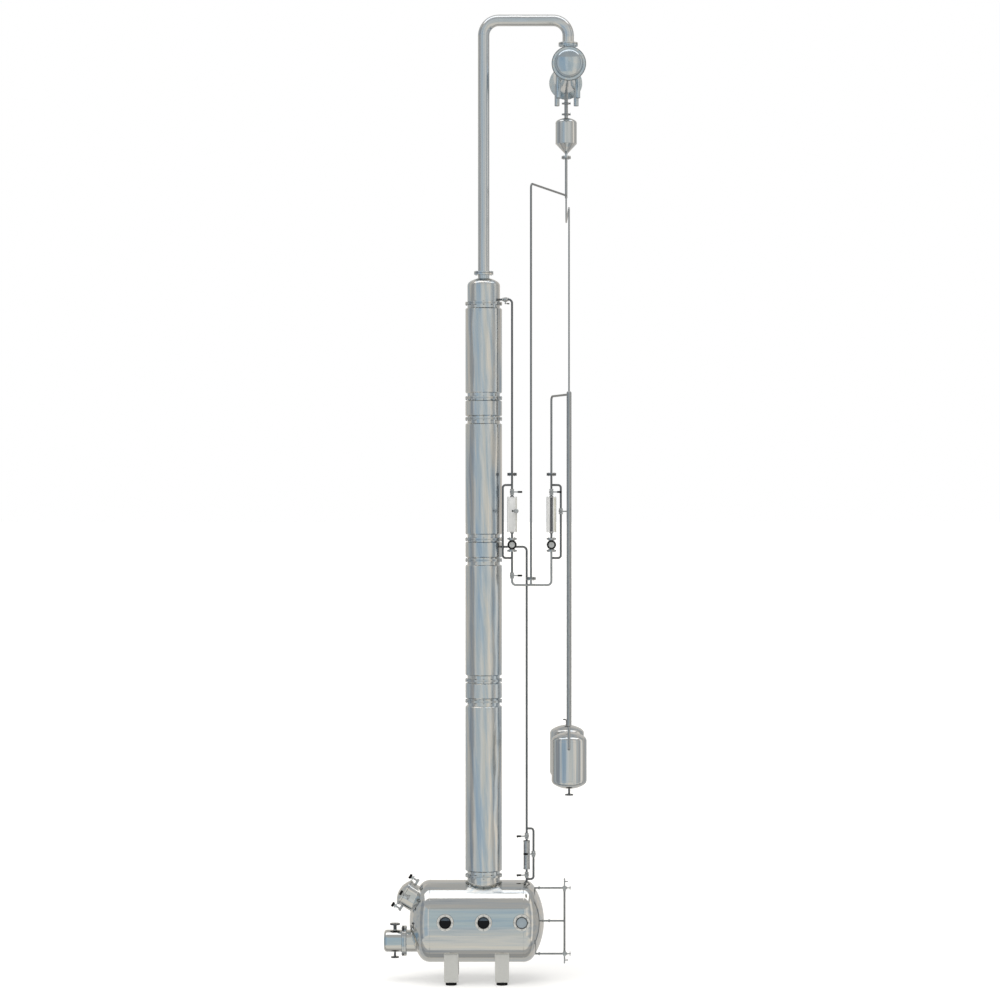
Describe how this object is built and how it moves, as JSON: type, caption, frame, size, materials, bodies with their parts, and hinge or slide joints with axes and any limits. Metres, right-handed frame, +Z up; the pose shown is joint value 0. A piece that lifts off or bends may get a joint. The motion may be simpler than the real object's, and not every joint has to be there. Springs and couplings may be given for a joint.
{
  "type": "distillation column",
  "caption": "Batch distillation column on a horizontal kettle, with overhead vapour line, condenser, separator, meter manifold, product cooler and receivers.",
  "frame": {"origin": "on the floor under the middle of the whole plant's plan", "axes": "+Z up along the column, +X towards the condenser and receivers, -Y towards the sight glasses"},
  "size_m": [2.013, 1.7976, 9.6611],
  "materials": {
    "polished_steel": "mirror polished stainless steel",
    "column_steel": "polished stainless cladding sheet with soft upright streaks",
    "pipe_steel": "polished stainless pipe",
    "satin_steel": "satin stainless steel",
    "black_rubber": "matt black rubber",
    "black_plastic": "black phenolic",
    "dark_glass": "toughened sight glass over a dark vessel",
    "clear_glass": "clear borosilicate glass",
    "meter_glass": "metering tube",
    "meter_white": "white enamelled sheet"
  },
  "bodies": {
    "root": {"ball_valves": "satin_steel", "bypass_pipes": "pipe_steel", "column_head": "polished_steel", "column_section_1": "polished_steel", "column_section_2": "polished_steel", "column_section_3": "polished_steel", "column_section_4": "polished_steel", "column_spool_1": "polished_steel", "column_spool_2": "polished_steel", "column_spool_3": "polished_steel", "column_stub": "polished_steel", "condensate_pipe": "pipe_steel", "condenser_front_head": "polished_steel", "condenser_legs": "polished_steel", "condenser_rear_head": "polished_steel", "condenser_shell": "polished_steel", "cooler_feed_pipe": "pipe_steel", "flow_sight_bodies": "pipe_steel", "flow_sight_glasses": "clear_glass", "gauge_arms": "pipe_steel", "gauge_glass": "clear_glass", "gauge_valves": "pipe_steel", "gauge_wheels": "satin_steel", "heater_bonnet": "polished_steel", "heater_neck": "polished_steel", "kettle_feet": "black_rubber", "kettle_head_left": "polished_steel", "kettle_head_right": "polished_steel", "kettle_legs": "satin_steel", "kettle_shell": "polished_steel", "manifold_header": "pipe_steel", "manway_cover": "polished_steel", "manway_knobs": "black_plastic", "manway_neck": "polished_steel", "manway_swing_bolts": "polished_steel", "meter_housings": "meter_white", "meter_pipes": "pipe_steel", "meter_tubes": "meter_glass", "product_cooler": "polished_steel", "product_riser": "pipe_steel", "receiver_bottom_heads": "polished_steel", "receiver_feed_pipes": "pipe_steel", "receiver_shells": "polished_steel", "receiver_top_heads": "polished_steel", "receiver_vents": "pipe_steel", "reflux_feed_pipe": "pipe_steel", "reflux_riser": "pipe_steel", "return_meter": "satin_steel", "return_pipe": "pipe_steel", "section_cladding": "column_steel", "separator_cone": "polished_steel", "separator_dome": "polished_steel", "separator_drop_pipe": "pipe_steel", "separator_shell": "polished_steel", "sight_glass_panes": "dark_glass", "sight_glass_rings": "polished_steel", "spool_cladding": "column_steel", "valve_levers": "satin_steel", "vapour_crossover": "polished_steel", "vapour_riser": "polished_steel"}
  },
  "joints": []
}
